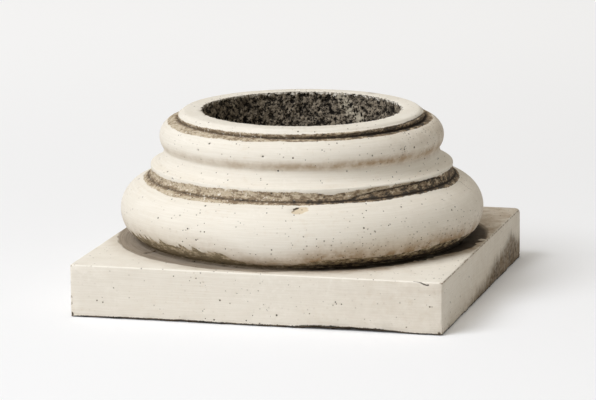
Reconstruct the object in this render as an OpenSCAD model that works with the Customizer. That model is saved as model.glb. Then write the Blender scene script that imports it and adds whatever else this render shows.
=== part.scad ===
// Cast stone column base of the Attic kind, made in one pour: a square slab, a lower torus,
// a fillet, a scotia, an upper torus and a top fillet, with a round core hole through it all.
// The origin is the centre of the underside, and +Z is up.

/* [Slab] */
// Width of the square slab, from side to side
slab_w = 450; // [420:1:520]
// Thickness of the slab
slab_t = 63; // [40:1:100]
// Radius along the slab's upper edges
arris_r = 1.5; // [0.5:0.1:4]
// Radius of the slab's four upright edges
corner_r = 2.5; // [1:0.1:10]

/* [Lower torus] */
// Height of the lower torus, which is a half round
lower_torus_t = 75; // [60:1:90]
// How far the slab stands out past the lower torus
slab_reveal = 4.5; // [0:0.5:20]

/* [Lower fillet] */
// How far the lower torus stands out past the lower fillet
lower_torus_reach = 37; // [30:0.5:38]
// Height of the lower fillet, from the top of the torus up to its lip
lower_fillet_t = 18; // [10:0.5:24]
// Radius of the lip where the lower fillet turns into the scotia
lip_r = 1.5; // [0.5:0.1:4]

/* [Scotia] */
// How far the lip stands out past the throat, the narrowest part of the scotia
scotia_reach = 16.5; // [12:0.5:22]
// Height from the lip up to the throat
scotia_t = 19; // [14:0.5:24]

/* [Upper torus] */
// Height of the upper torus, which is a half round
upper_torus_t = 43; // [36:1:56]
// Height from the throat up to the middle of the upper torus
upper_torus_rise = 13.5; // [8:0.5:18]
// How far the lower torus stands out past the upper torus
upper_torus_reach = 48; // [40:0.5:56]

/* [Top fillet] */
// Diameter of the top fillet, which is that of the shaft on it
top_fillet_d = 300; // [280:1:320]
// Height of the top fillet, the seat of the shaft
top_fillet_t = 10; // [6:0.5:20]
// Radius of the top fillet's worn outer edge
top_edge_r = 6; // [1:0.5:8]

/* [Core hole] */
// Diameter of the hole through the middle
core_d = 240; // [180:1:260]

/* [Wear] */
// How far in from its three faces the knocked corner's round is centred
worn_reach = 20; // [10:0.5:30]
// How far back along each edge the knocked corner begins
worn_start = 9; // [4:0.5:12]
// Width of the shallow flake lost from the top of the lower torus
flake_w = 16; // [8:0.5:18]
// Depth of that flake
flake_depth = 1.5; // [0.5:0.1:2]

/* [Hidden] */

$fn = 180;

// Radii of the half rounds
lower_r = lower_torus_t / 2;
upper_r = upper_torus_t / 2;

// Distances from the axis, from the slab inwards
lower_torus_edge = slab_w / 2 - slab_reveal;
lower_torus_mid = lower_torus_edge - lower_r;
lower_fillet_edge = lower_torus_edge - lower_torus_reach;
lip_mid = lower_fillet_edge - lip_r;
upper_torus_mid = lower_torus_edge - upper_torus_reach - upper_r;
top_fillet_edge = top_fillet_d / 2;
core_r = core_d / 2;

// Heights above the underside
lower_torus_z = slab_t + lower_r;
lower_fillet_z = slab_t + lower_torus_t;
lip_z = lower_fillet_z + lower_fillet_t;
lip_mid_z = lip_z - lip_r;
throat_z = lip_z + scotia_t;
upper_torus_z = throat_z + upper_torus_rise;
top_fillet_z = upper_torus_z + upper_r;
total_h = top_fillet_z + top_fillet_t;

// The hollow stands upright at the throat and runs smoothly into the lip's round.
scotia_r = (pow(scotia_reach, 2) + pow(throat_z - lip_mid_z, 2)) / (2 * scotia_reach) - lip_r;
scotia_mid = lower_fillet_edge - scotia_reach + scotia_r;

// Direction and height angle of the lost flake, seen from the lower torus's section centre
flake_turn = -76;
flake_rise = 65;
// A ball of this radius cuts a dish of the flake's width and depth
flake_ball_r = (pow(flake_w / 2, 2) + pow(flake_depth, 2)) / (2 * flake_depth);

// Cutters run past the faces they cut by this much
past = 1;

// A rectangle from the axis out to x, between two heights
module band(x, z0, z1) {
    translate([0, z0]) square([x, z1 - z0]);
}

// A half round that bulges outwards from the circle at radius mid
module half_round(mid, z, r) {
    intersection() {
        translate([mid, z]) circle(r);
        translate([0, z - r]) square([mid + r, 2 * r]);
    }
    band(mid, z - r, z + r);
}

// A fillet with an upright face and a rounded upper edge
module fillet_band(edge, z0, z1, r) {
    band(edge - r, z0, z1);
    band(edge, z0, z1 - r);
    translate([edge - r, z1 - r]) circle(r);
}

// The neck between the lower fillet and the upper torus, cut hollow by the scotia
module scotia_section() {
    difference() {
        polygon([
            [0, lower_fillet_z],
            [lip_mid, lower_fillet_z],
            [lip_mid, lip_mid_z],
            [scotia_mid, throat_z],
            [0, throat_z]
        ]);
        translate([scotia_mid, throat_z]) circle(scotia_r);
    }
}

// Half of the upright section through the mouldings, without the core hole
module moulding_section() {
    half_round(lower_torus_mid, lower_torus_z, lower_r);
    fillet_band(lower_fillet_edge, lower_torus_z, lip_z, lip_r);
    scotia_section();
    half_round(upper_torus_mid, upper_torus_z, upper_r);
    fillet_band(top_fillet_edge, upper_torus_z, total_h, top_edge_r);
}

module mouldings() {
    rotate_extrude() moulding_section();
}

// Outline of the slab from above, with its upright edges rounded
module slab_outline() {
    inner = slab_w - 2 * corner_r;
    square([slab_w, inner], center = true);
    square([inner, slab_w], center = true);
    for (x = [-1, 1], y = [-1, 1])
        translate([x * inner / 2, y * inner / 2]) circle(corner_r);
}

// Upright section of the slab, with its upper edges rounded
module slab_section() {
    inner = slab_w - 2 * arris_r;
    translate([-slab_w / 2, 0]) square([slab_w, slab_t - arris_r]);
    translate([-inner / 2, 0]) square([inner, slab_t]);
    for (x = [-1, 1])
        translate([x * inner / 2, slab_t - arris_r]) circle(arris_r);
}

module slab_bar() {
    rotate([90, 0, 0])
        linear_extrude(slab_w + 2 * past, center = true) slab_section();
}

module slab() {
    intersection() {
        linear_extrude(slab_t) slab_outline();
        slab_bar();
        rotate([0, 0, 90]) slab_bar();
    }
}

// What was knocked off the slab's upper corner at +X +Y: all outside a ball near the corner
module worn_corner() {
    clear = worn_reach - worn_start;
    ball_r = sqrt(2 * pow(worn_reach, 2) + pow(clear, 2));
    translate([slab_w / 2 - worn_reach, slab_w / 2 - worn_reach, slab_t - worn_reach])
        difference() {
            cube(worn_reach + past);
            sphere(ball_r);
        }
}

// The shallow dish left by a flake lost from the top of the lower torus
module lost_flake() {
    rotate([0, 0, flake_turn])
        translate([lower_torus_mid, 0, lower_torus_z])
            rotate([0, -flake_rise, 0])
                translate([lower_r + flake_ball_r - flake_depth, 0, 0])
                    sphere(flake_ball_r);
}

module core_hole() {
    translate([0, 0, -past]) cylinder(r = core_r, h = total_h + 2 * past);
}

module plinth() {
    color("#e9e1d2")
        difference() {
            union() {
                slab();
                mouldings();
            }
            core_hole();
            worn_corner();
            lost_flake();
        }
}

plinth();
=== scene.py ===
"""Looks of a cast stone column base: one worn casting, its stains, a pale floor, lights and a camera."""

import math

import bpy
import numpy as np
from mathutils import Matrix, Vector

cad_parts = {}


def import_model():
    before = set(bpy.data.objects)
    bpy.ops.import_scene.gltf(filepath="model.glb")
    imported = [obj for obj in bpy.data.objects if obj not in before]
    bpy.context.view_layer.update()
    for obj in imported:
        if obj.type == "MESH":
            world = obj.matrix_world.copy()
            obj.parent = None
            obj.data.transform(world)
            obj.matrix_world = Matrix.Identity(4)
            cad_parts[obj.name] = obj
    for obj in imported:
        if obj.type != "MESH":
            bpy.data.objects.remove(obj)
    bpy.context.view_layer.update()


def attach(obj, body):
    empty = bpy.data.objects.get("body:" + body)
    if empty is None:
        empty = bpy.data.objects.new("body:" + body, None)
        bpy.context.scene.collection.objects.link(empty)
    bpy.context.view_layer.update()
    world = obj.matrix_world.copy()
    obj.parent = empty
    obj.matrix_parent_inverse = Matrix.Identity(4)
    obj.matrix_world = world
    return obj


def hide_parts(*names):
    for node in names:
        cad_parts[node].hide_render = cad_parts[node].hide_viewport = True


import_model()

MM = 0.001
SEED = 7

# Sizes of the casting, in millimetres, as in its solid
HALF = 225.0
SLAB_T = 63.0
ARRIS_R = 1.5
CORNER_R = 2.5
LOWER_R = 37.5
LOWER_MID = 183.0
LOWER_Z = 100.5
LOWER_FILLET_R = 183.5
LIP_R = 1.5
LIP_MID = LOWER_FILLET_R - LIP_R
LIP_Z = 154.5
THROAT_R = 167.0
THROAT_Z = 175.0
UPPER_R = 21.5
UPPER_MID = 151.0
UPPER_Z = 188.5
TOP_FILLET_R = 150.0
TOP_EDGE_R = 6.0
HEIGHT = 220.0
CORE_R = 120.0
WORN_REACH = 20.0
WORN_START = 9.0
FLAKE_W = 16.0
FLAKE_DEPTH = 1.5
FLAKE_TURN = -76.0
FLAKE_RISE = 65.0

# The lower fillet's face leans out at its foot, to where packed dirt slopes down to the torus at this angle
FACE_FOOT_Z = 147.0
FOOT_R = 186.6
FOOT_Z = 141.4
RAMP_ANGLE = 75.3

# The torus meets the slab in a narrow mortar-filled seam, from this height angle down
SEAM_ANGLE = -70.0
SEAM_OUT = 199.0

# Most triangles in the finished mesh
MOST_TRIANGLES = 192000


def smooth(low, high, value):
    """0 below low, 1 above high, and a soft step between."""
    t = np.clip((value - low) / (high - low), 0.0, 1.0)
    return t * t * (3.0 - 2.0 * t)


def bump(centre, half_width, value):
    """1 at centre, falling softly to 0 at half_width either side."""
    return 1.0 - smooth(0.0, 1.0, np.abs(value - centre) / half_width)


def turn_from(angle, centre):
    """Signed difference between two directions in degrees, from -180 to 180."""
    return (angle - centre + 180.0) % 360.0 - 180.0


# Noise


def hashed(ix, iy, iz, seed):
    """A number from 0 to 1 for each whole-number grid point."""
    h = ix * np.uint32(374761393) + iy * np.uint32(668265263) + iz * np.uint32(2246822519)
    h = h + np.uint32(seed * 3266489917 & 0xFFFFFFFF)
    h = (h ^ (h >> np.uint32(15))) * np.uint32(2246822519)
    h = (h ^ (h >> np.uint32(13))) * np.uint32(3266489917)
    return (h ^ (h >> np.uint32(16))).astype(np.float32) / np.float32(4294967296.0)


def noise(points, size, seed):
    """Smooth value noise from -1 to 1, with lumps about size millimetres across."""
    scaled = points / size
    base = np.floor(scaled)
    t = (scaled - base).astype(np.float32)
    t = t * t * t * (t * (t * 6.0 - 15.0) + 10.0)
    cell = base.astype(np.int64).astype(np.uint32)
    total = np.zeros(points.shape[:-1], np.float32)
    for dx in (0, 1):
        wx = t[..., 0] if dx else 1.0 - t[..., 0]
        for dy in (0, 1):
            wy = t[..., 1] if dy else 1.0 - t[..., 1]
            for dz in (0, 1):
                wz = t[..., 2] if dz else 1.0 - t[..., 2]
                value = hashed(
                    cell[..., 0] + np.uint32(dx),
                    cell[..., 1] + np.uint32(dy),
                    cell[..., 2] + np.uint32(dz),
                    seed,
                )
                total += wx * wy * wz * value
    return total * 2.0 - 1.0


def layered(points, size, seed, octaves=3, falloff=0.5):
    """Several layers of noise, each half the size of the last."""
    total = np.zeros(points.shape[:-1], np.float32)
    weight = 1.0
    whole = 0.0
    for k in range(octaves):
        total += weight * noise(points, size / 2**k, seed + 17 * k)
        whole += weight
        weight *= falloff
    return total / whole


def grains(points, size, seed):
    """Distance from the middle of the nearest grain, 0 to about 1, and that grain's own number."""
    scaled = points / size
    base = np.floor(scaled)
    inside = (scaled - base).astype(np.float32)
    cell = base.astype(np.int64).astype(np.uint32)
    nearest = np.full(points.shape[:-1], 9.0, np.float32)
    own = np.zeros(points.shape[:-1], np.float32)
    for dx in (-1, 0, 1):
        for dy in (-1, 0, 1):
            for dz in (-1, 0, 1):
                at = [
                    cell[..., 0] + np.uint32(dx & 0xFFFFFFFF),
                    cell[..., 1] + np.uint32(dy & 0xFFFFFFFF),
                    cell[..., 2] + np.uint32(dz & 0xFFFFFFFF),
                ]
                gap = np.zeros(points.shape[:-1], np.float32)
                for k, step in enumerate((dx, dy, dz)):
                    gap += (step + hashed(*at, seed + k) - inside[..., k]) ** 2
                closer = gap < nearest
                nearest = np.where(closer, gap, nearest)
                own = np.where(closer, hashed(*at, seed + 5), own)
    return np.sqrt(nearest), own


# The casting's surface, as rings of points from the foot of the core hole, up, over and back under


def arc(mid, z, radius, first, last, step):
    """Ring radii and heights along an arc, from one height angle to another, in degrees."""
    count = max(3, int(abs(math.radians(last - first)) * radius / step))
    angles = np.radians(np.linspace(first, last, count + 1))
    return np.stack([mid + radius * np.cos(angles), z + radius * np.sin(angles)], 1)


def straight(start, end, step):
    """Ring radii and heights along a straight line."""
    count = max(1, int(math.dist(start, end) / step))
    return np.linspace(start, end, count + 1)


def outline(angles, inset):
    """Distance from the axis to the slab's side, seen from above, inset by some millimetres."""
    ux = np.abs(np.cos(angles))
    uy = np.abs(np.sin(angles))
    half = HALF - inset
    round_r = CORNER_R
    mid = half - round_r
    flat = half / np.maximum(ux, uy)
    along = ux + uy
    rounded = mid * along + np.sqrt(np.maximum(mid * mid * along * along - 2 * mid * mid + round_r**2, 0.0))
    at_corner = (flat * np.minimum(ux, uy)) > mid
    return np.where(at_corner, rounded, flat)


def column_angles():
    """Directions of the grid's columns: even, with more of them at the slab's four corners."""
    even = np.arange(0.0, 360.0, 0.25)
    extra = np.array([-0.36, -0.12, 0.12, 0.36, -0.62, 0.62])
    corners = (np.array([45.0, 135.0, 225.0, 315.0])[:, None] + extra[None, :]).ravel()
    return np.radians(np.unique(np.concatenate([even, corners])))


PARTS = ("wall", "rim", "ledge", "upper", "scotia", "lip", "face", "ramp", "lower", "seam", "top", "arris", "side", "under")


def hollow():
    """The scotia's radius and centre, and the height angles at which its arc and its neighbours' meet."""
    drop = THROAT_Z - LIP_Z
    reach = LOWER_FILLET_R - THROAT_R
    radius = (reach**2 + drop**2) / (2 * reach) - LIP_R
    mid = THROAT_R + radius
    lip_turn = 180 + math.degrees(math.atan2(drop, mid - LIP_MID))

    # Where the upper torus runs into the hollow, by their two circles
    across, down = mid - UPPER_MID, THROAT_Z - UPPER_Z
    apart = math.hypot(across, down)
    toward = math.degrees(math.atan2(down, across))
    at_upper = math.degrees(math.acos((UPPER_R**2 + apart**2 - radius**2) / (2 * UPPER_R * apart)))
    at_hollow = math.degrees(math.acos((radius**2 + apart**2 - UPPER_R**2) / (2 * radius * apart)))
    return radius, mid, toward - at_upper, 180 + toward + at_hollow, lip_turn


def ramp_end():
    """Where the packed dirt at the lower fillet's foot ends on the torus."""
    angle = math.radians(RAMP_ANGLE)
    return LOWER_MID + LOWER_R * math.cos(angle), LOWER_Z + LOWER_R * math.sin(angle)


def surface():
    """Points of the unworn casting as rows by columns, with each row's part of the casting."""
    angles = column_angles()
    hollow_r, hollow_mid, crease_turn, throat_turn, lip_turn = hollow()
    lean = np.linspace(0.0, 1.0, 9)[1:]
    lean_r = LOWER_FILLET_R + (FOOT_R - LOWER_FILLET_R) * lean**2
    lean_z = FACE_FOOT_Z + (FOOT_Z - FACE_FOOT_Z) * lean
    seam = math.radians(SEAM_ANGLE)
    seam_start = (LOWER_MID + LOWER_R * math.cos(seam), LOWER_Z + LOWER_R * math.sin(seam))
    rings = [
        ("wall", straight((CORE_R, 0.0), (CORE_R, 110.0), 3.0)),
        ("wall", straight((CORE_R, 110.0), (CORE_R, HEIGHT - 0.8), 1.0)[1:]),
        ("rim", arc(CORE_R + 0.8, HEIGHT - 0.8, 0.8, 150, 90, 0.4)),
        ("rim", straight((CORE_R + 0.8, HEIGHT), (TOP_FILLET_R - TOP_EDGE_R, HEIGHT), 1.0)[1:]),
        ("rim", arc(TOP_FILLET_R - TOP_EDGE_R, HEIGHT - TOP_EDGE_R, TOP_EDGE_R, 90, 0, 0.8)[1:]),
        ("ledge", straight((TOP_FILLET_R, HEIGHT - TOP_EDGE_R), (TOP_FILLET_R, UPPER_Z + UPPER_R), 0.8)[1:]),
        ("upper", arc(UPPER_MID, UPPER_Z, UPPER_R, 90, crease_turn, 0.9)),
        ("scotia", arc(hollow_mid, THROAT_Z, hollow_r, throat_turn, lip_turn, 0.9)[1:]),
        ("lip", arc(LIP_MID, LIP_Z, LIP_R, lip_turn - 180, 0, 0.7)[1:]),
        ("face", straight((LOWER_FILLET_R, LIP_Z), (LOWER_FILLET_R, FACE_FOOT_Z), 0.8)[1:]),
        ("face", np.stack([lean_r, lean_z], 1)),
        ("ramp", straight((FOOT_R, FOOT_Z), ramp_end(), 0.8)[1:]),
        ("lower", arc(LOWER_MID, LOWER_Z, LOWER_R, RAMP_ANGLE, SEAM_ANGLE, 0.95)[1:]),
        ("seam", straight(seam_start, (SEAM_OUT, SLAB_T), 0.9)[1:]),
    ]
    cos_a = np.cos(angles)
    sin_a = np.sin(angles)
    rows = []
    names = []
    for part, ring in rings:
        for radius, z in ring:
            rows.append(np.stack([radius * cos_a, radius * sin_a, np.full_like(angles, z)], 1))
            names.append(part)
    edge = outline(angles, ARRIS_R)
    for t in np.linspace(0.0, 1.0, 62)[1:]:
        radius = SEAM_OUT + (edge - SEAM_OUT) * t
        rows.append(np.stack([radius * cos_a, radius * sin_a, np.full_like(angles, SLAB_T)], 1))
        names.append("top")
    for t in np.radians(np.linspace(90, 0, 5)[1:]):
        radius = outline(angles, ARRIS_R * (1 - math.cos(t)))
        z = np.full_like(angles, SLAB_T - ARRIS_R * (1 - math.sin(t)))
        rows.append(np.stack([radius * cos_a, radius * sin_a, z], 1))
        names.append("arris")
    side = outline(angles, 0.0)
    for z in np.linspace(SLAB_T - ARRIS_R, 0.6, 56)[1:]:
        rows.append(np.stack([side * cos_a, side * sin_a, np.full_like(angles, z)], 1))
        names.append("side")
    for inset, z in ((0.25, 0.15), (0.7, 0.0), (2.0, 0.0), (4.0, 0.0), (7.0, 0.0), (12.0, 0.0), (20.0, 0.0)):
        radius = outline(angles, inset)
        rows.append(np.stack([radius * cos_a, radius * sin_a, np.full_like(angles, z)], 1))
        names.append("under")
    inner = outline(angles, 20.0)
    for t in np.linspace(0.0, 1.0, 8)[1:]:
        radius = inner + (CORE_R + 7.0 - inner) * t
        rows.append(np.stack([radius * cos_a, radius * sin_a, np.zeros_like(angles)], 1))
        names.append("under")
    return np.array(rows), np.array([PARTS.index(n) for n in names]), np.degrees(angles)


def outward(points):
    """Unit normals of a closed grid of points."""
    across = np.roll(points, -1, 1) - np.roll(points, 1, 1)
    along = np.roll(points, -1, 0) - np.roll(points, 1, 0)
    normals = np.cross(along, across)
    return normals / np.maximum(np.linalg.norm(normals, axis=-1, keepdims=True), 1e-9)


def knock_corner(points):
    """Brings what stands outside the ball at the knocked corner back to the ball."""
    mid = np.array([HALF - WORN_REACH, HALF - WORN_REACH, SLAB_T - WORN_REACH])
    ball_r = math.sqrt(2 * WORN_REACH**2 + (WORN_REACH - WORN_START) ** 2)
    from_mid = points - mid
    reach = np.linalg.norm(from_mid, axis=-1)
    outside = (from_mid > 0).all(axis=-1) & (reach > ball_r)
    points[outside] = mid + from_mid[outside] * (ball_r / reach[outside])[:, None]


def part_mask(kinds, *names):
    """Rows of the grid that lie on the named parts of the casting, as a column of 0 and 1."""
    return np.isin(kinds, [PARTS.index(n) for n in names]).astype(np.float32)[:, None]


def around(turn, knots):
    """A size that changes with direction: knots are (degrees, size), in rising degrees from -180 up."""
    at = np.array([k[0] for k in knots] + [knots[0][0] + 360.0])
    size = np.array([k[1] for k in knots] + [knots[0][1]])
    t = (turn - at[0]) % 360.0 + at[0]
    place = np.clip(np.searchsorted(at, t, side="right") - 1, 0, len(at) - 2)
    share = smooth(0.0, 1.0, (t - at[place]) / (at[place + 1] - at[place]))
    return size[place] + (size[place + 1] - size[place]) * share


# How far each stain reaches, in millimetres, by direction in degrees: -90 is the front, 0 the right side
SLAB_STAIN_R = (
    (-180, 225), (-145, 226), (-120, 222), (-90, 217), (-76, 207), (-57, 211), (-30, 201),
    (-4, 219), (8, 226), (26, 231), (50, 230), (100, 222),
)
LEDGE_OUT = ((-170, 12), (-159, 12.5), (-134, 14), (-121, 12.4), (-105, 12), (-80, 9), (-45, 7.6), (-6, 7.6), (90, 9))
LEDGE_UP = ((-170, 5), (-140, 4), (-100, 4.5), (-60, 5.5), (-36, 6.5), (-20, 7.5), (0, 8), (30, 6), (90, 4))
FILLET_OUT = (
    (-180, 8), (-149, 7), (-141, 7.8), (-128, 10.5), (-114, 9.5), (-103, 6.9), (-87, 4.8), (-76, 5.2), (-65, 4.2),
    (-47, 4.9), (-34, 3.6), (-20, 4.2), (-8, 7), (25, 6), (90, 6),
)
FILLET_UP = (
    (-180, 9), (-146, 9.5), (-134, 8.7), (-118, 10.6), (-80, 11), (-72, 9.9), (-65, 6.9), (-57, 9.8), (-46, 13),
    (-39, 14.5), (-32, 12.5), (-25, 10.2), (-5, 11), (20, 10), (90, 9),
)
# Dark lines along the top of the dirt: their height above the fillet's foot and above the ledge, 0 for none
CRUST_TOP = ((-62, 0), (-58, 1.3), (-54, 4.3), (-46, 7.2), (-40, 8.4), (-33, 9.2), (-19, 10.2), (-12, 8), (-8, 0))
LEDGE_LINE = ((-62, 0), (-56, 2.5), (-37, 5), (-24, 5.8), (-15, 7.2), (0, 7.4), (12, 5), (18, 0))
CONTACT_UP = (
    (-180, 14), (-150, 24), (-130, 29), (-104, 28), (-98, 17), (-90, 6.5), (-80, 8), (-68, 20), (-40, 21),
    (-20, 25), (5, 22), (60, 15),
)
SIDE_STAIN_UP = ((-45, 4), (-41, 0), (-30, 0), (-24, 4), (-12, 8), (0, 13), (22, 28), (37, 44), (43, 28), (47, 26), (57, 14), (75, -20), (140, -20))
# How thick the dirt is, how strong the painted shade in the scotia's throat is and how low the foot's gap reaches, by
# direction
GRIME = (
    (-180, 0.35), (-145, 0.25), (-115, 0.3), (-95, 0.42), (-85, 0.5), (-75, 0.66), (-66, 0.85), (-50, 0.95),
    (-15, 1.2), (30, 0.95), (100, 0.55),
)
THROAT_SHADE = ((-180, 0.2), (-120, 0.28), (-100, 0.45), (-70, 0.65), (-40, 0.72), (0, 0.65), (90, 0.45))
FOOT_GAP = (
    (-180, 0.8), (-135, 0.8), (-124, 2.2), (-108, 2.4), (-98, 1.5), (-80, 2.0), (-72, 4.4), (-58, 4.2), (-50, 1.4),
    (-30, 1.3), (45, 1.0), (135, 0.8),
)

# Marks of the casting that are not random: x, y, z, radius and depth, in millimetres
CHIPS = (
    (-157, -139.5, 63, 4.8, 2.0), (-153.5, -137, 63, 4.4, 1.8), (-150, -131, 63, 3.4, 1.6),
    (-224, -225, 62, 1.9, 0.9), (-199, -225, 63, 1.8, 0.6), (-178, -225, 63, 1.6, 0.5),
    (-224, -225, 24, 2.0, 0.9), (-224, -225, 16, 2.4, 1.0), (-224, -225, 3, 3.6, 1.6),
    (221, -225, 2.5, 2.8, 1.2), (-128, -225, 1.5, 2.8, 1.2), (222, -224, 62, 1.6, 0.8),
)
# Clusters of bug holes: x, y, z, how far they spread and how many
CLUSTERS = (
    (116.8, -127.5, 186.8, 2.0, 4), (148.5, -88.0, 190.5, 4.0, 7), (163.2, -29.7, 203.6, 4.0, 5),
    (193.9, -74.3, 129.6, 1.2, 2), (98.1, -225.0, 32.8, 0.8, 2), (-61.3, -225.0, 16.4, 1.0, 2),
    (65.6, -159.1, 161.9, 1.0, 2), (-25.0, -225.0, 20.0, 30.0, 24), (205.0, -60.0, 80.0, 26.0, 40),
)
# Pale scrapes on the core hole's wall: x, y, z and how far they spread
SCRAPES = ((26, 117, 206, 9), (32, 115, 197, 10), (43, 112, 190, 11), (20, 118, 216, 9), (-102, 63, 209, 4))
# The crack under a loose flake at the slab's front right: x and how high it runs, over the edge and inwards
CRACK = ((190, 64.0), (194, 62.9), (197.5, 62.2), (201, 61.0), (203.5, 59.6), (206, 58.9), (209.5, 59.8))


def inside(distance):
    """1 inside a border and 0 outside it, with a step under a millimetre wide."""
    return smooth(-0.4, 0.5, distance)


def stain_fields(points, kinds, turn):
    """How far inside each stain's border every point lies, in millimetres, and what else its stone shows."""
    x, y, z = points[..., 0], points[..., 1], points[..., 2]
    ring_r = np.hypot(x, y)
    wobble = 1.7 * layered(points, 16.0, SEED + 20, 3)
    ragged = 2.4 * layered(points, 4.5, SEED + 21, 2)

    def on(name, values, elsewhere=-40.0):
        return np.where(part_mask(kinds, name) > 0, values, elsewhere)

    upper_arc = UPPER_R * np.arctan2(ring_r - UPPER_MID, np.maximum(z - UPPER_Z, -UPPER_R))
    ledge_out = on("upper", around(turn, LEDGE_OUT) - upper_arc)
    above_ledge = z - UPPER_Z - UPPER_R
    rim_face = part_mask(kinds, "ledge") + part_mask(kinds, "rim") * (ring_r > TOP_FILLET_R - 0.8 * TOP_EDGE_R)
    ledge_up = np.where(rim_face > 0, around(turn, LEDGE_UP) - above_ledge + 0.4 * ragged, -40.0)
    lower_angle = np.arctan2(z - LOWER_Z, ring_r - LOWER_MID)
    ramp_long = math.dist((FOOT_R, FOOT_Z), ramp_end())
    down_torus = ramp_long + LOWER_R * (math.radians(RAMP_ANGLE) - lower_angle)
    fillet_out = on("lower", around(turn, FILLET_OUT) - down_torus)
    down_ramp = np.hypot(ring_r - FOOT_R, z - FOOT_Z)
    fillet_out = np.maximum(fillet_out, on("ramp", around(turn, FILLET_OUT) - down_ramp))
    above_foot = z - FOOT_Z
    fillet_up = on("face", around(turn, FILLET_UP) - above_foot + 0.6 * ragged)
    above_seam = LOWER_R * (lower_angle - math.radians(SEAM_ANGLE))

    # The peeled band's upper border is a comb of slanting teeth
    arc_along = np.radians(turn) * 215.0
    teeth = np.stack([arc_along + 0.9 * above_seam, 0.22 * above_seam, np.zeros_like(z)], -1)
    comb = 7.5 * layered(teeth, 5.5, SEED + 22, 2) * smooth(-2.5, 9.5, above_seam)
    comb *= 0.15 + 0.85 * bump(-130.0, 55.0, turn)
    contact = on("lower", around(turn, CONTACT_UP) - above_seam + comb + wobble)
    contact = np.maximum(contact, on("seam", 12.0))
    slab = np.maximum(on("top", around(turn, SLAB_STAIN_R) - ring_r + 0.6 * wobble), on("seam", 20.0))
    on_side = (np.maximum(x, y) > HALF - 1.5) & (part_mask(kinds, "side", "arris") > 0)
    streaks = np.stack([x, y, 0.15 * z], -1)
    side = around(turn, SIDE_STAIN_UP) - z + 6.0 * layered(streaks, 7.0, SEED + 24, 2)
    creases = ((TOP_FILLET_R, UPPER_Z + UPPER_R), (FOOT_R, FOOT_Z), (SEAM_OUT - 1.0, SLAB_T + 0.2))
    crease = np.min([np.hypot(ring_r - crease_r, z - height) for crease_r, height in creases], 0)
    crust_top = around(turn, CRUST_TOP) + 0.25 * ragged
    ledge_line = around(turn, LEDGE_LINE) + 0.25 * ragged
    line = np.where((part_mask(kinds, "face") > 0) & (crust_top > 0.8), np.abs(above_foot - crust_top), 9.0)
    line = np.where((rim_face > 0) & (ledge_line > 0.8), np.abs(above_ledge - ledge_line), line)
    thin = part_mask(kinds, "face") * (crust_top > 0.8) * smooth(-0.5, 0.8, above_foot - crust_top)
    thin = np.maximum(thin, rim_face * (ledge_line > 0.8) * smooth(-1.5, 0.5, above_ledge - ledge_line))
    grime = around(turn, GRIME) - 0.5 * thin

    # A brown tint over the stone, partly a thin film of dirt and partly painted shade: in the scotia's throat, down
    # the right side and on the slab
    dim = smooth(-75.0, 10.0, turn) * smooth(150.0, 60.0, turn)
    # Painted shade under the upper torus, in the scotia's throat
    film_and_shade = part_mask(kinds, "upper", "scotia") * bump(180.0, 9.0 + 6.0 * dim, z) * around(turn, THROAT_SHADE)
    # Painted shade and brown film down the right side, which the lamps leave in shade
    film_and_shade = np.maximum(film_and_shade, part_mask(kinds, "upper", "ledge") * 0.3 * dim)
    film_and_shade = np.maximum(film_and_shade, part_mask(kinds, "lower") * dim * (0.12 + 0.3 * smooth(115.0, 75.0, z)))
    # Painted shade and film on the lower torus, towards its seam with the slab
    dull = 0.8 * smooth(-32.0, 4.0, contact) * (0.25 + 0.75 * smooth(-115.0, -80.0, turn))
    film_and_shade = np.maximum(film_and_shade, part_mask(kinds, "lower") * dull)
    # Darker towards the slab top's far right corner
    film_and_shade = np.maximum(film_and_shade, part_mask(kinds, "top") * 0.5 * smooth(60.0, 220.0, x) * smooth(-90.0, 110.0, y))
    # Painted shade: the slab's front darker towards its right
    front = part_mask(kinds, "side", "arris") * (y < 3.0 - HALF)
    film_and_shade = np.maximum(film_and_shade, front * (0.05 + 0.1 * smooth(0.0, 180.0, x)))
    # Painted shade on the slab's right side, deeper near the floor
    film_and_shade = np.maximum(film_and_shade, part_mask(kinds, "side", "arris") * dim * (0.12 + 0.3 * smooth(30.0, 0.0, z)))
    near_stain = smooth(-22.0, -1.0, slab) * (0.2 + 0.4 * smooth(-95.0, -55.0, turn))
    washed = smooth(-50.0, -4.0, slab) * bump(-50.0, 30.0, turn) * smooth(-0.5, 0.5, layered(points, 20.0, SEED + 26, 2))
    film_and_shade = np.maximum(film_and_shade, part_mask(kinds, "top") * np.maximum(near_stain, 0.7 * washed))

    specks = 0.12 + 0.88 * part_mask(kinds, "lower") * smooth(-95.0, -50.0, turn) * smooth(120.0, 90.0, z)
    specks = np.maximum(specks, part_mask(kinds, "upper", "ledge") * 0.8 * dim)
    specks = np.maximum(specks, part_mask(kinds, "side") * 0.35 * smooth(45.0, 10.0, z))

    crack_x, crack_z = zip(*CRACK)
    rolled_out = np.where(part_mask(kinds, "top") > 0, SLAB_T + y + HALF, z)
    near_crack = (x > 0.7 * HALF) & (y < 0.0)
    crack = np.where(near_crack, rolled_out - np.interp(x, crack_x, crack_z), -9.0)
    return {
        "ledge_stain": np.maximum(ledge_out + 0.7 * wobble + 0.5 * ragged, ledge_up),
        "fillet_stain": np.maximum(fillet_out + 0.7 * wobble + 0.4 * ragged, fillet_up),
        "contact_stain": contact + 0.5 * ragged,
        "slab_stain": slab,
        "side_stain": np.where(on_side, side, -40.0),
        "crease": crease,
        "line": line,
        "grime": grime,
        "film_and_shade": film_and_shade,
        "specks": specks,
        "crack": crack,
        "foot": np.where(part_mask(kinds, "side", "under") > 0, z - around(turn, FOOT_GAP), 20.0),
    }


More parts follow.
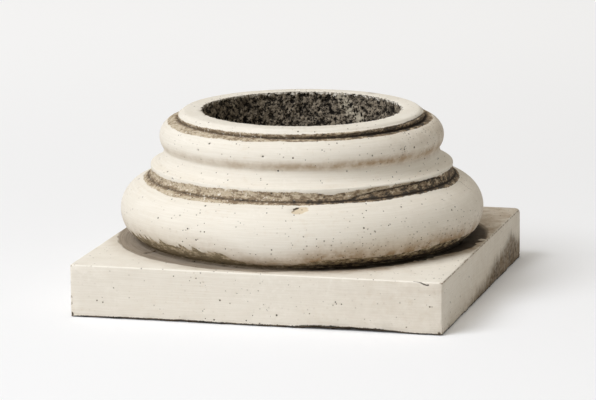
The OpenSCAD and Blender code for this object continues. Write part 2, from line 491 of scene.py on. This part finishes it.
def lost_flake(points):
    """Takes the flake off the lower torus; how far inside it, and inside the painted shadow along its upper edge, each
    point lies.
    """
    turn, rise = math.radians(FLAKE_TURN), math.radians(FLAKE_RISE)
    ball_r = ((FLAKE_W / 2) ** 2 + FLAKE_DEPTH**2) / (2 * FLAKE_DEPTH)
    reach = LOWER_R + ball_r - FLAKE_DEPTH
    level = np.array([math.cos(turn), math.sin(turn), 0.0])
    out = math.cos(rise) * level + np.array([0.0, 0.0, math.sin(rise)])
    ring = LOWER_MID * level + np.array([0.0, 0.0, LOWER_Z])
    mid = ring + reach * out
    from_mid = points - mid
    gap = np.linalg.norm(from_mid, axis=-1)
    within = gap < ball_r
    points[within] = mid + from_mid[within] * (ball_r / gap[within])[:, None]
    from_spot = points - (ring + LOWER_R * out)
    along = from_spot @ np.array([-math.sin(turn), math.cos(turn), 0.0])
    up = from_spot @ (math.cos(rise) * np.array([0.0, 0.0, 1.0]) - math.sin(rise) * level)
    tilted = up - 0.2 * along
    oval = (1.0 - np.sqrt((along / 10.0) ** 2 + (tilted / 7.0) ** 2)) * 5.0
    wavy = 0.9 * noise(points, 3.0, SEED + 40)
    lowered = (1.0 - np.sqrt(((along - 1.2) / 10.0) ** 2 + ((tilted + 3.0) / 7.0) ** 2)) * 5.0
    near = np.abs(from_spot @ out) < 6.0
    border = np.where(near, np.clip(oval + wavy, -5.0, 5.0), -5.0)
    return border, np.where(near & (along < 2.0), np.clip(np.minimum(border, -lowered - wavy), -5.0, 5.0), -5.0)


def skin_wear(points, kinds, fields, turn):
    """Depth lost all over: slow waves, a sandy skin, and a rough floor where the skin peeled or dirt sits."""
    outer = 1.0 - part_mask(kinds, "wall", "under")
    radius = np.hypot(points[..., 0], points[..., 1])
    cut = outer * 0.14 * (1.0 + layered(points, 38.0, SEED))
    cut += outer * 0.04 * (1.0 + layered(points, 7.0, SEED + 1, 2))
    coarse = layered(points, 3.0, SEED + 8, 2)
    lumpy = layered(points, 6.0, SEED + 9, 2)
    thick = fields["grime"] * (1.0 + 0.6 * coarse + 0.6 * lumpy)
    dirty = np.maximum(inside(fields["fillet_stain"]), inside(fields["ledge_stain"]))
    cut += dirty * (0.1 + 0.4 * thick)
    left = bump(-130.0, 62.0, turn)
    contact = inside(fields["contact_stain"]) * part_mask(kinds, "lower")
    cut += contact * (0.15 + 0.55 * left + 0.35 * np.abs(coarse) + 0.25 * thick)
    loose = inside(fields["crack"]) * smooth(8.0, 3.0, fields["crack"])
    loose *= smooth(CRACK[0][0], CRACK[1][0], points[..., 0]) * smooth(CRACK[-1][0], CRACK[-2][0], points[..., 0])
    lost = smooth(0.0, 0.7, fields["flake"]) * smooth(6.0, 0.0, fields["flake"])
    edges = part_mask(kinds, "lip") + part_mask(kinds, "rim") * smooth(4.0, 1.0, TOP_FILLET_R - radius)
    cut += 0.45 * edges * smooth(0.1, 0.6, layered(points, 4.5, SEED + 10, 2))
    worn_rim = part_mask(kinds, "rim", "ledge") * smooth(TOP_FILLET_R - 9.0, TOP_FILLET_R - 1.0, radius)
    cut += 3.0 * worn_rim * smooth(3.5, 9.5, points[..., 2] - UPPER_Z - UPPER_R)
    groove = part_mask(kinds, "face", "ramp", "ledge", "upper") * smooth(1.5, 0.2, fields["crease"])
    groove = np.maximum(groove, smooth(1.0, 0.2, fields["line"]))
    return cut + 0.55 * loose + 1.1 * lost + 0.6 * groove


def edge_wear(points, kinds, turn):
    """Depth lost at the slab's edges, an uneven foot, nicks and chips, and how worn and how far inside a chip each point is."""
    x, y, z = points[..., 0], points[..., 1], points[..., 2]
    inset = HALF - np.maximum(np.abs(x), np.abs(y))
    gap = np.maximum(around(turn, FOOT_GAP) * (1.0 + 1.1 * layered(points, 15.0, SEED + 30, 3)), 0.0)
    nibbled = smooth(0.2, 0.6, layered(points, 6.0, SEED + 31, 2))
    under = part_mask(kinds, "under") * gap * smooth(14.0, 3.0, inset)
    foot = part_mask(kinds, "side") * (0.6 * gap + 0.9 * nibbled) * smooth(2.6, 0.0, z - 0.4 * gap)
    from_edge = np.hypot(inset, SLAB_T - z)
    from_corner = np.hypot(HALF - np.abs(x), HALF - np.abs(y))
    upper = part_mask(kinds, "top", "arris", "side")
    nicks = upper * smooth(2.6, 0.6, from_edge) * 0.7 * nibbled
    corners = part_mask(kinds, "side", "arris") * smooth(4.5, 1.0, from_corner) * 0.9 * nibbled
    cut = under + foot + nicks + corners
    scar = np.maximum(0.65 * corners + 0.45 * nicks, 0.6 * foot)
    uneven = 1.0 + 0.35 * layered(points, 3.0, SEED + 32, 2)
    chip = np.full_like(cut, -5.0)
    for *mark, radius, depth in CHIPS:
        apart = np.linalg.norm(points - np.array(mark), axis=-1) * uneven
        cut = np.maximum(cut, smooth(1.0, 0.35, apart / radius) * depth)
        chip = np.maximum(chip, 0.75 * radius - apart)
    return cut, scar, chip


def core_wall(points, kinds):
    """Depth of the hollows of the core hole's rough wall, by point."""
    depth = np.zeros(points.shape[:2], np.float32)
    rows = np.flatnonzero(kinds == PARTS.index("wall"))
    there = points[rows]
    bent = there + 1.6 * noise(there, 4.0, SEED + 2)[..., None]
    distance, own = grains(bent, 3.3, SEED + 3)
    pores = smooth(0.05, 0.4, layered(there, 4.4, SEED + 5, 2))
    hollow = smooth(0.1, 0.5, layered(there, 13.0, SEED + 4, 3))
    rough = 0.2 + 1.1 * smooth(0.2, 0.8, distance) + 0.7 * own + 1.7 * pores + 1.6 * hollow
    near_mouth = 0.75 + 0.25 * smooth(0.0, 6.0, HEIGHT - there[..., 2])
    depth[rows] = rough * near_mouth * smooth(0.0, 6.0, there[..., 2])
    return depth


def bug_holes(points, kinds):
    """Depth of the round pits left by air in the mix, and how far inside one each point lies, -1 to 1."""
    cut = np.zeros(points.shape[:2], np.float32)
    pit = np.full_like(cut, -1.0)
    random = np.random.default_rng(SEED)
    outer = 1.0 - part_mask(kinds, "wall", "under")
    across = np.linalg.norm(np.roll(points, -1, 1) - points, axis=-1)
    along = np.linalg.norm(np.roll(points, -1, 0) - points, axis=-1)
    density = 0.3 + smooth(-0.2, 0.5, layered(points, 60.0, SEED + 6, 2))
    weight = (density * across * along * outer).ravel()
    slab = np.broadcast_to(part_mask(kinds, "side", "top", "arris") > 0, cut.shape)
    clean = slab & (points[..., 0] < -90.0) & (points[..., 1] < 0.0)
    weight[slab.ravel()] *= 0.4
    weight[clean.ravel()] *= 0.15
    chosen = list(random.choice(weight.size, 300, replace=False, p=weight / weight.sum()))
    flat = points.reshape(-1, 3)
    for *centre, spread, count in CLUSTERS:
        near = np.flatnonzero(np.linalg.norm(flat - np.array(centre), axis=-1) < 1.5 * spread + 1.0)
        near = near[outer.repeat(points.shape[1], 1).ravel()[near] > 0]
        chosen += list(random.choice(near, min(count, len(near)), replace=False))
    rows, columns = points.shape[:2]
    for index in chosen:
        radius = 0.5 + 0.95 * random.random() ** 2.5
        row, column = divmod(int(index), columns)
        block = np.ix_(np.arange(max(row - 4, 0), min(row + 5, rows)), np.arange(column - 6, column + 7) % columns)
        gap = np.linalg.norm(points[block] - points[row, column], axis=-1) / (radius * 1.15)
        dish = np.sqrt(np.clip(1.0 - gap**2, 0.0, 1.0))
        cut[block] = np.maximum(cut[block], dish * radius * 1.2)
        pit[block] = np.maximum(pit[block], np.clip(1.0 - gap, -1.0, 1.0))
    return cut, pit


def worn_surface():
    """Displaced points of the casting, and the fields that its stone reads, one number a point each."""
    points, kinds, degrees = surface()
    turn = np.broadcast_to(degrees[None, :], points.shape[:2])
    turn = turn_from(turn, 0.0)
    knock_corner(points)
    flake, flake_shadow = lost_flake(points)
    normals = outward(points)
    fields = stain_fields(points, kinds, turn)
    fields["flake"] = flake
    fields["flake_shadow"] = flake_shadow
    worn, fields["scar"], fields["chip"] = edge_wear(points, kinds, turn)
    holes, fields["pit"] = bug_holes(points, kinds)
    core = core_wall(points, kinds)
    cut = np.maximum(skin_wear(points, kinds, fields, turn) + worn, holes) + core

    # The ragged mouth of the hole carries on a little way into the rim
    ring_r = np.hypot(points[..., 0], points[..., 1])
    rim = np.flatnonzero(kinds == PARTS.index("rim"))
    mouth = np.flatnonzero(kinds == PARTS.index("wall"))[-1]
    reach = smooth(3.5, 0.0, ring_r[rim] - CORE_R)
    radial = np.zeros_like(cut)
    radial[rim] = reach * np.clip(core[mouth] - 0.6, 0.0, 2.4)[None, :]
    core[rim] = 1.2
    fields["core_depth"] = core
    below = np.minimum(HEIGHT - 2.2 - points[..., 2], 9.0)
    fields["mouth"] = np.where(part_mask(kinds, "rim") > 0, CORE_R + 0.3 - ring_r, below)
    fields["mouth"] = np.where(part_mask(kinds, "rim", "wall") > 0, fields["mouth"], -9.0)
    fields["scrape"] = np.max([1.0 - np.linalg.norm(points - np.array(at), axis=-1) / r for *at, r in SCRAPES], 0)
    outwards = np.stack([np.cos(np.radians(turn)), np.sin(np.radians(turn)), np.zeros_like(turn)], -1)
    return points - normals * cut[..., None] + outwards * radial[..., None], fields


def grid_mesh(name, points, fields):
    """A closed mesh of the grid, in metres, with its fields as attributes."""
    rows, columns = points.shape[:2]
    index = np.arange(rows * columns).reshape(rows, columns)
    right = np.roll(index, -1, 1)
    ahead = np.roll(index, -1, 0)
    quads = np.stack([index, ahead, np.roll(ahead, -1, 1), right], -1).reshape(-1, 4)
    mesh = bpy.data.meshes.new(name)
    mesh.vertices.add(rows * columns)
    mesh.vertices.foreach_set("co", (points.reshape(-1) * MM).astype(np.float32))
    mesh.loops.add(quads.size)
    mesh.loops.foreach_set("vertex_index", quads.reshape(-1).astype(np.int32))
    mesh.polygons.add(len(quads))
    mesh.polygons.foreach_set("loop_start", np.arange(0, quads.size, 4, dtype=np.int32))
    mesh.update(calc_edges=True)
    for field, values in fields.items():
        layer = mesh.attributes.new(field, "FLOAT", "POINT")
        layer.data.foreach_set("value", values.reshape(-1).astype(np.float32))
    return mesh


def casting():
    """The finished piece: the dense grid, thinned where the surface is plain."""
    points, fields = worn_surface()
    dense = grid_mesh("dense", points, fields)
    piece = bpy.data.objects.new("cast_base", dense)
    bpy.context.scene.collection.objects.link(piece)
    thin = piece.modifiers.new("thin", "DECIMATE")
    thin.ratio = MOST_TRIANGLES / (2 * len(dense.polygons))
    thin.use_collapse_triangulate = True
    graph = bpy.context.evaluated_depsgraph_get()
    mesh = bpy.data.meshes.new_from_object(piece.evaluated_get(graph))
    piece.modifiers.clear()
    piece.data = mesh
    bpy.data.meshes.remove(dense)
    mesh.name = "cast_base"
    mesh.shade_smooth()
    return piece


# Materials


class Graph:
    """Adds shader nodes to a material and links them, with numbers or sockets as inputs."""

    def __init__(self, name):
        self.material = bpy.data.materials.new(name)
        self.material.use_nodes = True
        self.tree = self.material.node_tree
        self.tree.nodes.clear()

    def node(self, kind, inputs=(), **settings):
        made = self.tree.nodes.new(kind)
        for key, value in settings.items():
            setattr(made, key, value)
        for key, value in dict(inputs).items():
            self.put(made.inputs[key], value)
        return made

    def put(self, socket, value):
        if isinstance(value, bpy.types.NodeSocket):
            self.tree.links.new(value, socket)
        else:
            socket.default_value = value

    def math(self, operation, *values):
        made = self.tree.nodes.new("ShaderNodeMath")
        made.operation = operation
        for k, value in enumerate(values):
            self.put(made.inputs[k], value)
        return made.outputs[0]

    def field(self, name):
        return self.node("ShaderNodeAttribute", attribute_name=name).outputs["Fac"]

    def step(self, value, low, high):
        """A soft step: 0 where value is at low, 1 where it is at high, also with low above high."""
        made = self.node(
            "ShaderNodeMapRange",
            {"Value": value, "From Min": low, "From Max": high},
            interpolation_type="SMOOTHSTEP",
        )
        return made.outputs["Result"]

    def noise(self, place, size, detail=2.0, rough=0.5):
        """Noise from about 0 to 1, with lumps about size millimetres across."""
        made = self.node(
            "ShaderNodeTexNoise",
            {"Vector": place, "Scale": 1.0 / (size * MM), "Detail": detail, "Roughness": rough},
        )
        return made.outputs["Fac"]

    def pits(self, place, size, smallest, largest, share):
        """Round spots and their stained rims: at most one to a cell of size millimetres, in a share of the cells."""
        cell = self.node("ShaderNodeTexVoronoi", {"Vector": place, "Scale": 1.0 / (size * MM)})
        own = self.node("ShaderNodeSeparateColor", {"Color": cell.outputs["Color"]}).outputs
        radius = self.math("MULTIPLY", self.math("POWER", own[0], 2.0), largest - smallest)
        radius = self.math("ADD", radius, smallest)
        gap = self.math("MULTIPLY", cell.outputs["Distance"], size)
        kept = self.math("LESS_THAN", own[1], share)
        spot = self.math("MULTIPLY", self.step(gap, radius, self.math("MULTIPLY", radius, 0.8)), kept)
        halo = self.math("MULTIPLY", self.step(gap, self.math("MULTIPLY", radius, 2.0), radius), kept)
        return spot, halo

    def scaled(self, place, factors):
        made = self.node("ShaderNodeVectorMath", {0: place, 1: factors}, operation="MULTIPLY")
        return made.outputs[0]

    def multiply(self, first, second):
        """Two colours multiplied."""
        made = self.node("ShaderNodeMix", data_type="RGBA", blend_type="MULTIPLY")
        self.put(made.inputs["Factor"], 1.0)
        self.put(made.inputs[6], first)
        self.put(made.inputs[7], second)
        return made.outputs[2]

    def mix(self, factor, first, second):
        """Between two colours."""
        made = self.node("ShaderNodeMix", data_type="RGBA")
        self.put(made.inputs["Factor"], factor)
        self.put(made.inputs[6], first)
        self.put(made.inputs[7], second)
        return made.outputs[2]


def colour(red, green, blue):
    """A colour given as a screen shows it, 0 to 255, as the linear one that the shader reads."""
    parts = []
    for value in (red, green, blue):
        share = value / 255.0
        parts.append(share / 12.92 if share <= 0.04045 else ((share + 0.055) / 1.055) ** 2.4)
    return (*parts, 1.0)


CREAM = colour(226, 219, 206)
CREAM_PALE = colour(234, 228, 217)
CREAM_WARM = colour(220, 210, 194)
SAND = colour(172, 158, 136)
TAN_PALE = colour(214, 202, 182)
TAN = colour(186, 170, 145)
BROWN = colour(124, 104, 79)
OLIVE = colour(124, 110, 84)
DARK = colour(44, 35, 26)
SLAB_GREY = colour(166, 152, 134)
SLAB_DARK = colour(124, 110, 94)
FILM_AND_SHADE_TINT = colour(176, 152, 124)
SOOT = colour(74, 61, 46)
FLAKED = colour(214, 197, 170)
HIGHLIGHT_PALE = colour(243, 237, 226)
PIT = colour(34, 23, 13)
CORE_PALE = colour(150, 138, 121)
SHADE_DARK = colour(20, 15, 11)
SCRAPED = colour(196, 186, 166)


def stone():
    g = Graph("cast_stone")
    place = g.node("ShaderNodeTexCoord").outputs["Object"]
    broad = g.noise(place, 60.0, 3.0)
    fine = g.noise(place, 7.0, 4.0, 0.6)
    sand = g.noise(place, 0.9, 2.0, 0.7)
    mottle = g.noise(place, 4.0, 4.0, 0.65)
    streaks = g.noise(g.scaled(place, (0.03, 0.03, 1.0)), 1.3, 2.0, 0.6)
    tone = g.mix(g.step(broad, 0.3, 0.7), CREAM_WARM, CREAM_PALE)
    tone = g.mix(g.step(fine, 0.25, 0.55), tone, CREAM)
    tone = g.mix(g.math("MULTIPLY", g.step(streaks, 0.42, 0.62), 0.5), tone, CREAM_PALE)
    tone = g.mix(g.math("MULTIPLY", g.step(sand, 0.36, 0.22), 0.3), tone, SAND)

    # A brown tint, thicker in patches: partly a thin film of dirt and partly painted shade in the throat and on the
    # shaded right side
    patches = g.math("MULTIPLY", g.step(g.noise(place, 16.0, 3.0), 0.35, 0.65), 0.55)
    patchy = g.math("ADD", g.math("ADD", 0.4, g.math("MULTIPLY", mottle, 0.65)), patches)
    film_and_shade = g.math("MULTIPLY", g.field("film_and_shade"), patchy)
    tone = g.mix(film_and_shade, tone, g.multiply(tone, FILM_AND_SHADE_TINT))

    # Dirt in the mouldings: tan where thin, brown to black where thick, on the dirty side and in creases
    grime = g.field("grime")
    crease = g.field("crease")
    ragged = g.math("MULTIPLY", g.math("SUBTRACT", g.noise(place, 1.7, 3.0, 0.6), 0.5), 3.6)
    flat = g.scaled(place, (1.0, 1.0, 2.0))
    blotch = g.step(g.noise(flat, 10.0, 4.0, 0.6), 0.36, 0.64)
    grain = g.step(g.noise(flat, 4.0, 3.0, 0.65), 0.34, 0.66)
    uneven = g.math("ADD", g.math("MULTIPLY", blotch, 0.75), g.math("MULTIPLY", grain, 0.6))
    uneven = g.math("SUBTRACT", uneven, 0.7)
    uneven = g.math("MULTIPLY", uneven, g.math("ADD", 0.35, g.math("MULTIPLY", grime, 0.75)))
    deep = g.math("MULTIPLY", g.step(crease, 5.5, 0.3), 0.5)
    thick = g.math("ADD", g.math("ADD", g.math("MULTIPLY", grime, 0.7), deep), uneven)
    thick = g.math("SUBTRACT", thick, 0.1)
    dirt = g.mix(g.step(thick, -0.5, 0.05), TAN_PALE, TAN)
    dirt = g.mix(g.step(thick, 0.05, 0.5), dirt, BROWN)
    dirt = g.mix(g.step(thick, 0.6, 1.15), dirt, DARK)
    spots = g.noise(place, 3.0, 2.0, 0.6)
    dirt = g.mix(g.math("MULTIPLY", g.step(spots, 0.36, 0.3), 0.75), dirt, DARK)
    bare = g.math("MULTIPLY", g.step(spots, 0.6, 0.66), g.step(grime, 0.75, 0.35))
    clear = g.math("SUBTRACT", 0.95, g.math("MULTIPLY", bare, 0.75))
    for name in ("ledge_stain", "fillet_stain"):
        mask = g.step(g.math("ADD", g.field(name), ragged), -0.4, 0.5)
        tone = g.mix(g.math("MULTIPLY", mask, clear), tone, dirt)
    contact_depth = g.math("ADD", g.field("contact_stain"), ragged)
    contact = g.step(contact_depth, -0.6, 0.9)
    deeper = g.math("MULTIPLY", g.step(contact_depth, 0.0, 22.0), g.math("ADD", 0.1, g.math("MULTIPLY", grime, 0.55)))
    crust_thick = g.math("ADD", deeper, uneven)
    crust_thick = g.math("ADD", crust_thick, g.math("MULTIPLY", grime, 0.45))
    crust = g.mix(g.step(crust_thick, -0.5, -0.1), TAN_PALE, TAN)
    crust = g.mix(g.step(crust_thick, -0.1, 0.3), crust, OLIVE)
    crust = g.mix(g.step(crust_thick, 0.45, 1.1), crust, DARK)
    tone = g.mix(g.math("MULTIPLY", contact, 0.93), tone, crust)

    # The grey ring that the torus leaves on the slab, drawn out in rings
    apart = g.node("ShaderNodeSeparateXYZ", {0: place}).outputs
    ring_r = g.node("ShaderNodeVectorMath", {0: g.scaled(place, (1.0, 1.0, 0.0))}, operation="LENGTH").outputs["Value"]
    turned = g.node("ShaderNodeCombineXYZ", {0: ring_r, 1: g.math("MULTIPLY", apart[0], 0.05)})
    g.put(turned.inputs[2], g.math("MULTIPLY", apart[1], 0.05))
    rings = g.noise(turned.outputs[0], 2.6, 3.0, 0.65)
    ring_edge = g.math("MULTIPLY", g.math("SUBTRACT", rings, 0.5), 7.0)
    slab_in = g.math("ADD", g.math("ADD", g.field("slab_stain"), g.math("MULTIPLY", ragged, 0.4)), ring_edge)
    slab = g.step(slab_in, -0.5, 2.0)
    calm = g.math("MULTIPLY", g.step(grime, 0.42, 0.28), 0.55)
    striped = g.math("MULTIPLY", g.step(rings, 0.38, 0.6), g.math("SUBTRACT", 1.0, calm))
    striped = g.math("ADD", striped, g.math("MULTIPLY", calm, g.math("SUBTRACT", mottle, 0.15)))
    slab_tone = g.mix(striped, SLAB_DARK, SLAB_GREY)
    # Near the seam, on the dirty right side, the ring turns near black: dirt and painted contact shade
    dark_ring_reach = g.math("ADD", slab_in, g.math("MULTIPLY", g.step(grime, 0.85, 1.15), 8.0))
    slab_tone = g.mix(g.math("MULTIPLY", g.step(dark_ring_reach, 3.0, 12.0), g.step(grime, 0.45, 0.8)), slab_tone, DARK)
    tone = g.mix(g.math("MULTIPLY", slab, 0.88), tone, slab_tone)

    drips = g.noise(g.scaled(place, (1.0, 1.0, 0.12)), 4.0, 3.0, 0.65)
    side_in = g.math("ADD", g.field("side_stain"), g.math("MULTIPLY", g.math("SUBTRACT", drips, 0.5), 40.0))
    side = g.step(g.math("ADD", side_in, g.math("MULTIPLY", ragged, 1.5)), -6.0, 12.0)
    side_tone = g.mix(g.step(drips, 0.35, 0.62), SOOT, BROWN)
    side_tone = g.mix(g.math("MULTIPLY", g.step(drips, 0.46, 0.36), blotch), side_tone, DARK)
    tone = g.mix(g.math("MULTIPLY", side, g.math("ADD", 0.65, g.math("MULTIPLY", blotch, 0.3))), tone, side_tone)

    # Dark lines in the creases, partly dirt and partly painted shade, and along the top of the dirt; a painted shadow
    # along the slab's foot
    # Painted shade and dirt: the creases darkened towards the near-black colour
    line = g.math("MINIMUM", crease, g.math("ADD", g.field("line"), 0.2))
    line = g.math("SUBTRACT", line, g.math("MULTIPLY", ragged, 0.5))
    line = g.math("MULTIPLY", g.step(line, 2.0, 0.4), g.math("ADD", 0.2, g.math("MULTIPLY", grime, 0.8)))
    tone = g.mix(line, tone, DARK)

    # Painted shadow: the slab's foot near black where the gap under it falls in shade
    foot = g.math("ADD", g.field("foot"), g.math("MULTIPLY", ragged, 0.9))
    tone = g.mix(g.math("MULTIPLY", g.step(foot, 1.2, 0.5), 0.95), tone, SHADE_DARK)
    # Painted highlight along the slab's front top arris, where it catches the light
    edge = g.step(apart[2], 0.0612, 0.0619)
    arris_highlight = g.math("MULTIPLY", g.step(g.math("ABSOLUTE", apart[1]), 0.2226, 0.2234), edge)
    tone = g.mix(g.math("MULTIPLY", arris_highlight, 0.7), tone, HIGHLIGHT_PALE)
    edge = g.math("MULTIPLY", g.step(apart[2], 0.0604, 0.0612), g.step(apart[2], 0.0628, 0.062))
    edge = g.math("MULTIPLY", g.math("MULTIPLY", edge, g.step(apart[0], 0.2225, 0.2235)), g.step(mottle, 0.4, 0.52))
    tone = g.mix(g.math("MULTIPLY", edge, 0.75), tone, BROWN)

    # Where chips, the lost flake and the crack show older stone, with a painted shadow along the flake's upper edge
    scar = g.math("ADD", g.field("scar"), g.math("MULTIPLY", ragged, 0.12))
    tone = g.mix(g.math("MULTIPLY", g.step(scar, 0.25, 0.6), 0.7), tone, BROWN)
    tone = g.mix(g.math("MULTIPLY", g.step(scar, 0.6, 0.95), 0.8), tone, DARK)
    chip = g.math("ADD", g.field("chip"), g.math("MULTIPLY", ragged, 0.5))
    tone = g.mix(g.math("MULTIPLY", g.step(chip, -0.7, 0.2), 0.6), tone, BROWN)
    tone = g.mix(g.math("MULTIPLY", g.step(chip, 0.2, 1.0), 0.92), tone, DARK)
    flake = g.math("ADD", g.field("flake"), g.math("MULTIPLY", ragged, 0.3))
    tone = g.mix(g.math("MULTIPLY", g.step(flake, -0.2, 0.4), 0.9), tone, FLAKED)
    # Painted shadow: a dark crescent along the lost flake's upper left edge
    tone = g.mix(g.math("MULTIPLY", g.step(g.field("flake_shadow"), -0.1, 0.5), 0.9), tone, DARK)
    crack = g.math("ABSOLUTE", g.math("SUBTRACT", g.field("crack"), 0.2))
    first, last = (MM * CRACK[k][0] for k in (0, -1))
    length = g.math("MULTIPLY", g.step(apart[0], first, first + MM), g.step(apart[0], last, last - MM))
    tone = g.mix(g.math("MULTIPLY", g.step(crack, 0.9, 0.3), g.math("MULTIPLY", length, 0.9)), tone, DARK)

    # Bug holes: the larger ones are in the mesh too
    specks = g.field("specks")
    crowded = g.math("ADD", 0.05, g.math("MULTIPLY", g.step(g.noise(place, 45.0, 3.0), 0.44, 0.62), 0.55))
    crowded = g.math("ADD", crowded, g.math("MULTIPLY", g.step(specks, 0.4, 0.9), 0.2))
    clean = g.math("MULTIPLY", g.step(apart[2], 0.0635, 0.063), g.step(apart[0], -0.06, -0.13))
    crowded = g.math("MULTIPLY", crowded, g.math("SUBTRACT", 1.0, g.math("MULTIPLY", clean, 0.8)))
    holes, hole_rims = g.pits(place, 6.8, 0.6, 1.3, crowded)
    dots, dot_rims = g.pits(place, 3.8, 0.45, 1.05, specks)
    pit = g.step(g.field("pit"), 0.15, 0.3)
    stained = g.math("MULTIPLY", hole_rims, 0.8)
    tone = g.mix(g.math("MULTIPLY", stained, 0.25), tone, TAN)
    tone = g.mix(g.math("MULTIPLY", dot_rims, 0.1), tone, BROWN)
    # Dark centres of the dots and holes: partly painted shade in the holes and partly dirt
    tone = g.mix(g.math("MULTIPLY", dots, 0.55), tone, SOOT)
    tone = g.mix(g.math("MULTIPLY", g.math("MAXIMUM", holes, pit), 0.93), tone, PIT)

    # The core hole's wall: painted shade, darker with the depth of its hollows and near black in its pores and caves,
    # with sand flecks and pale scrapes
    core = g.field("core_depth")
    pores = g.noise(place, 3.3, 2.0, 0.65)
    caves = g.noise(place, 8.0, 2.0, 0.6)
    core_shade = g.mix(g.step(core, 0.8, 3.8), CORE_PALE, SHADE_DARK)
    core_shade = g.mix(g.step(pores, 0.48, 0.4), core_shade, SHADE_DARK)
    core_shade = g.mix(g.math("MULTIPLY", g.step(pores, 0.56, 0.66), 0.4), core_shade, SAND)
    flecks = g.noise(place, 1.6, 2.0, 0.7)
    core_shade = g.mix(g.math("MULTIPLY", g.step(flecks, 0.44, 0.38), 0.8), core_shade, SHADE_DARK)
    core_shade = g.mix(g.math("MULTIPLY", g.step(flecks, 0.57, 0.66), 0.6), core_shade, SAND)
    core_shade = g.mix(g.math("MULTIPLY", g.step(caves, 0.46, 0.36), 0.9), core_shade, SHADE_DARK)
    scrape = g.math("ADD", g.field("scrape"), g.math("MULTIPLY", g.math("SUBTRACT", pores, 0.5), 4.0))
    core_shade = g.mix(g.math("MULTIPLY", g.step(scrape, 0.3, 0.6), 0.85), core_shade, SCRAPED)
    notches = g.noise(place, 4.2, 3.0, 0.7)
    mouth = g.math("ADD", g.field("mouth"), g.math("MULTIPLY", g.math("SUBTRACT", notches, 0.5), 17.0))
    tone = g.mix(g.step(mouth, -0.2, 0.3), tone, core_shade)

    # Heights of the fine relief, in millimetres
    relief = g.math("ADD", g.math("MULTIPLY", fine, 0.16), g.math("MULTIPLY", sand, 0.1))
    relief = g.math("ADD", relief, g.math("MULTIPLY", streaks, 0.06))
    relief = g.math("ADD", relief, g.math("MULTIPLY", g.math("MULTIPLY", contact, mottle), 0.5))
    relief = g.math("SUBTRACT", relief, g.math("MULTIPLY", g.math("MAXIMUM", holes, dots), 0.5))
    bumps = g.node("ShaderNodeBump", {"Height": relief, "Strength": 0.8, "Distance": MM}).outputs["Normal"]
    shader = g.node(
        "ShaderNodeBsdfPrincipled",
        {"Base Color": tone, "Roughness": 0.88, "Specular IOR Level": 0.25, "Normal": bumps},
    )
    g.node("ShaderNodeOutputMaterial", {"Surface": shader.outputs[0]})
    return g.material


# The stage


def floor():
    """A wide pale floor that keeps the casting's shadow, with a little lift where the camera sees it."""
    size = 14.0
    mesh = bpy.data.meshes.new("floor")
    corners = [(-size, -size, 0), (size, -size, 0), (size, size, 0), (-size, size, 0)]
    mesh.from_pydata(corners, [], [(0, 1, 2, 3)])
    plane = bpy.data.objects.new("floor", mesh)
    bpy.context.scene.collection.objects.link(plane)
    g = Graph("floor")
    seen = g.node("ShaderNodeLightPath").outputs["Is Camera Ray"]
    place = g.node("ShaderNodeTexCoord").outputs["Object"]
    behind = g.node("ShaderNodeVectorMath", {0: place, 1: (-0.254, 0.967, 0.0)}, operation="DOT_PRODUCT")
    far = g.step(behind.outputs["Value"], 0.2, 2.8)
    lift = g.math("MULTIPLY", seen, g.math("ADD", 0.045, g.math("MULTIPLY", far, 0.18)))
    diffuse = g.node(
        "ShaderNodeBsdfPrincipled",
        {"Base Color": (0.86, 0.86, 0.87, 1.0), "Roughness": 0.9, "Specular IOR Level": 0.1},
    )
    glow = g.node("ShaderNodeEmission", {"Color": (1, 1, 1, 1), "Strength": lift})
    both = g.node("ShaderNodeAddShader", {0: diffuse.outputs[0], 1: glow.outputs[0]})
    g.node("ShaderNodeOutputMaterial", {"Surface": both.outputs[0]})
    mesh.materials.append(g.material)
    return plane


def area_light(name, place, target, size, power, tint=(1.0, 1.0, 1.0)):
    data = bpy.data.lights.new(name, "AREA")
    data.shape = "SQUARE"
    data.size = size
    data.energy = power
    data.color = tint
    lamp = bpy.data.objects.new(name, data)
    lamp.location = place
    lamp.rotation_mode = "QUATERNION"
    lamp.rotation_quaternion = (Vector(target) - Vector(place)).to_track_quat("-Z", "Y")
    bpy.context.scene.collection.objects.link(lamp)
    return lamp


def world(strength):
    sky = bpy.data.worlds.new("studio")
    sky.use_nodes = True
    background = sky.node_tree.nodes["Background"]
    background.inputs["Color"].default_value = (1.0, 0.94, 0.82, 1.0)
    background.inputs["Strength"].default_value = strength
    bpy.context.scene.world = sky


# Camera fitted to the photograph: a long lens, looking slightly down at the near corner
CAMERA_AZIMUTH = 14.705
CAMERA_ELEVATION = 11.211
CAMERA_ROLL = -0.396
CAMERA_DISTANCE = 4.8212
CAMERA_LENS = 239.44
AIM_RIGHT = -0.005
AIM_UP = 0.1068


def camera():
    a = math.radians(CAMERA_AZIMUTH)
    e = math.radians(CAMERA_ELEVATION)
    roll = math.radians(CAMERA_ROLL)
    back = Vector((math.sin(a) * math.cos(e), -math.cos(a) * math.cos(e), math.sin(e)))
    level = Vector((math.cos(a), math.sin(a), 0.0))
    rise = back.cross(level)
    right = math.cos(roll) * level + math.sin(roll) * rise
    up = -math.sin(roll) * level + math.cos(roll) * rise
    aim = AIM_RIGHT * level + Vector((0.0, 0.0, AIM_UP))
    data = bpy.data.cameras.new("camera")
    data.lens = CAMERA_LENS
    data.sensor_width = 36.0
    data.clip_end = 100.0
    made = bpy.data.objects.new("camera", data)
    pose = Matrix((right, up, back)).transposed().to_4x4()
    pose.translation = aim + back * CAMERA_DISTANCE
    made.matrix_world = pose
    bpy.context.scene.collection.objects.link(made)
    bpy.context.scene.camera = made


base = casting()
base.data.materials.append(stone())
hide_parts("plinth")
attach(base, "root")

floor()
area_light("key", (-3.9, -4.8, 6.5), (0.0, 0.0, 0.1), 5.0, 600.0, (0.97, 1.003, 1.06))
area_light("top", (0.3, -0.6, 5.0), (0.0, 0.0, 0.1), 4.0, 52.0)
world(0.345)
camera()
bpy.context.scene.view_settings.view_transform = "Standard"
